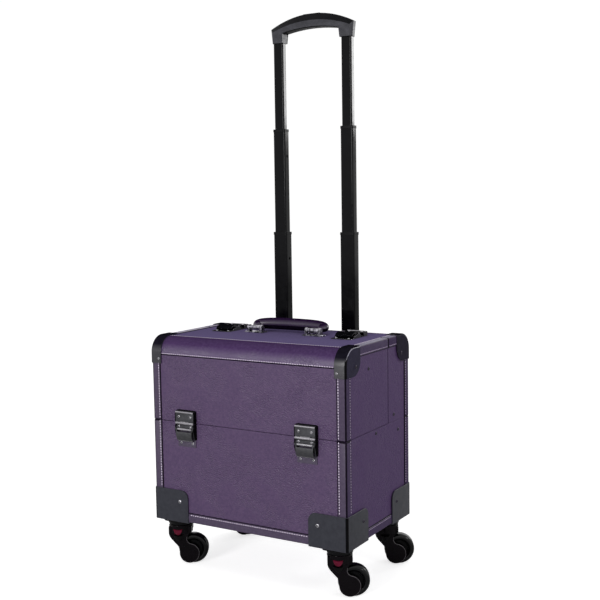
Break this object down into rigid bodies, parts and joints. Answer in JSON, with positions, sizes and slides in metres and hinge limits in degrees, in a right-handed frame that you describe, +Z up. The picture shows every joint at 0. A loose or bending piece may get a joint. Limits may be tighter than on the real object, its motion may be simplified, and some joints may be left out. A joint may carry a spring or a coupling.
{
  "type": "rolling grooming case",
  "caption": "Leather-covered rolling grooming case with a drop-front lid, toggle latches, carry handle, telescopic pull handle and swivel casters.",
  "frame": {"origin": "on the floor under the centre of the case body's footprint, at the height of the wheels' lowest points", "axes": "+X along the front to the right as seen from the front, +Y from the front to the pull handle at the back, +Z up"},
  "size_m": [0.3972, 0.2653, 0.966],
  "materials": {
    "front_leather": "pebbled grain, semi-matt",
    "side_leather": "pebbled grain, semi-matt",
    "edge_leather": "fine grain, semi-matt",
    "lining_cloth": "napped",
    "rivet_steel": "satin",
    "bracket_steel": "powder coated, semi-matt",
    "latch_steel": "black nickel, satin",
    "handle_zinc": "satin",
    "grip_leather": "glossy",
    "black_tube": "gloss black",
    "black_plastic": "moulded, satin",
    "grip_plastic": "moulded, satin",
    "tray_plastic": "moulded, matt",
    "tyre_rubber": "glossy moulded"
  },
  "bodies": {
    "base": {"base_front_panel": "front_leather", "base_back_panel": "front_leather", "base_side_panels": "side_leather", "base_floor_panel": "front_leather", "base_edge_frame": "edge_leather", "base_lining": "lining_cloth", "rear_shell_panel": "front_leather", "rear_side_panels": "side_leather", "rear_edge_frame": "edge_leather", "rear_lining": "lining_cloth", "joining_straps": "rivet_steel", "bottom_brackets": "bracket_steel", "rear_corner_caps": "bracket_steel", "base_rivets": "rivet_steel", "front_latch_bases": "latch_steel", "front_hinge_pins": "rivet_steel", "top_latch_keepers": "latch_steel", "trolley_sleeves": "black_tube", "sleeve_brackets": "black_plastic", "caster_plates": "black_plastic"},
    "lid": {"lid_shell_panel": "front_leather", "lid_side_panels": "side_leather", "lid_edge_frame": "edge_leather", "lid_lining": "lining_cloth", "lid_corner_caps": "bracket_steel", "lid_rivets": "rivet_steel", "lid_hinge_leaves": "latch_steel", "top_latch_bases": "latch_steel", "handle_brackets": "handle_zinc"},
    "front_lever_left": {"front_lever_left": "latch_steel"},
    "front_lever_right": {"front_lever_right": "latch_steel"},
    "top_lever_left": {"top_lever_left": "latch_steel"},
    "top_lever_right": {"top_lever_right": "latch_steel"},
    "top_hook_left": {"top_hook_left": "latch_steel"},
    "top_hook_right": {"top_hook_right": "latch_steel"},
    "handle": {"handle_loops": "handle_zinc", "carry_grip": "grip_leather"},
    "stage1": {"stage1_tubes": "black_tube", "stage1_fittings": "black_plastic"},
    "stage2": {"stage2_tubes": "black_tube", "stage2_fittings": "black_plastic"},
    "stage3": {"stage3_tubes": "black_tube", "stage3_plugs": "black_plastic", "pull_grip": "grip_plastic"},
    "button": {"release_button": "black_plastic"},
    "tray": {"lift_out_tray": "tray_plastic"},
    "swivel_fl": {"fork_fl": "black_plastic", "axle_fl": "rivet_steel"},
    "wheel_fl": {"tyre_fl": "tyre_rubber"},
    "swivel_fr": {"fork_fr": "black_plastic", "axle_fr": "rivet_steel"},
    "wheel_fr": {"tyre_fr": "tyre_rubber"},
    "swivel_bl": {"fork_bl": "black_plastic", "axle_bl": "rivet_steel"},
    "wheel_bl": {"tyre_bl": "tyre_rubber"},
    "swivel_br": {"fork_br": "black_plastic", "axle_br": "rivet_steel"},
    "wheel_br": {"tyre_br": "tyre_rubber"}
  },
  "joints": [
    {"name": "lid_hinge", "type": "hinge", "parent": "base", "child": "lid", "pos_m": [0, -0.1198, 0.26], "axis": [1, 0, 0], "range_deg": [0, 95]},
    {"name": "front_lever_left", "type": "hinge", "parent": "base", "child": "front_lever_left", "pos_m": [-0.119, -0.121, 0.2496], "axis": [-1, 0, 0], "range_deg": [0, 90]},
    {"name": "front_lever_right", "type": "hinge", "parent": "base", "child": "front_lever_right", "pos_m": [0.119, -0.121, 0.2496], "axis": [-1, 0, 0], "range_deg": [0, 90]},
    {"name": "top_lever_left", "type": "hinge", "parent": "lid", "child": "top_lever_left", "pos_m": [-0.122, 0.0256, 0.411], "axis": [-1, 0, 0], "range_deg": [0, 90]},
    {"name": "top_hook_left", "type": "hinge", "parent": "top_lever_left", "child": "top_hook_left", "pos_m": [-0.122, 0.0226, 0.4087], "axis": [-1, 0, 0], "range_deg": [-90, 0]},
    {"name": "top_lever_right", "type": "hinge", "parent": "lid", "child": "top_lever_right", "pos_m": [0.122, 0.0256, 0.411], "axis": [-1, 0, 0], "range_deg": [0, 90]},
    {"name": "top_hook_right", "type": "hinge", "parent": "top_lever_right", "child": "top_hook_right", "pos_m": [0.122, 0.0226, 0.4087], "axis": [-1, 0, 0], "range_deg": [-90, 0]},
    {"name": "carry_handle", "type": "hinge", "parent": "lid", "child": "handle", "pos_m": [0, 0.014, 0.4128], "axis": [1, 0, 0], "range_deg": [0, 150]},
    {"name": "stage1_slide", "type": "slide", "parent": "base", "child": "stage1", "axis": [0, 0, 1], "range_m": [-0.18, 0]},
    {"name": "stage2_slide", "type": "slide", "parent": "stage1", "child": "stage2", "axis": [0, 0, 1], "range_m": [-0.18, 0]},
    {"name": "stage3_slide", "type": "slide", "parent": "stage2", "child": "stage3", "axis": [0, 0, 1], "range_m": [-0.152, 0]},
    {"name": "button_push", "type": "slide", "parent": "stage3", "child": "button", "axis": [0, 0, -1], "range_m": [0, 0.003], "stiffness_N_per_m": 300},
    {"name": "tray_lift", "type": "slide", "parent": "base", "child": "tray", "axis": [0, 0, 1], "range_m": [0, 0.12]},
    {"name": "swivel_fl", "type": "hinge", "parent": "base", "child": "swivel_fl", "pos_m": [-0.16, -0.085, 0.06], "axis": [0, 0, 1], "continuous": true},
    {"name": "wheel_fl", "type": "hinge", "parent": "swivel_fl", "child": "wheel_fl", "pos_m": [-0.14095, -0.074, 0.026], "axis": [-0.5, 0.866, 0], "continuous": true},
    {"name": "swivel_fr", "type": "hinge", "parent": "base", "child": "swivel_fr", "pos_m": [0.16, -0.085, 0.06], "axis": [0, 0, 1], "continuous": true},
    {"name": "wheel_fr", "type": "hinge", "parent": "swivel_fr", "child": "wheel_fr", "pos_m": [0.17905, -0.074, 0.026], "axis": [-0.5, 0.866, 0], "continuous": true},
    {"name": "swivel_bl", "type": "hinge", "parent": "base", "child": "swivel_bl", "pos_m": [-0.16, 0.085, 0.06], "axis": [0, 0, 1], "continuous": true},
    {"name": "wheel_bl", "type": "hinge", "parent": "swivel_bl", "child": "wheel_bl", "pos_m": [-0.14095, 0.096, 0.026], "axis": [-0.5, 0.866, 0], "continuous": true},
    {"name": "swivel_br", "type": "hinge", "parent": "base", "child": "swivel_br", "pos_m": [0.16, 0.085, 0.06], "axis": [0, 0, 1], "continuous": true},
    {"name": "wheel_br", "type": "hinge", "parent": "swivel_br", "child": "wheel_br", "pos_m": [0.17905, 0.096, 0.026], "axis": [-0.5, 0.866, 0], "continuous": true}
  ],
  "couplings": [
    {"joint": "top_hook_left", "follows": "top_lever_left", "ratio": -1},
    {"joint": "top_hook_right", "follows": "top_lever_right", "ratio": -1}
  ]
}
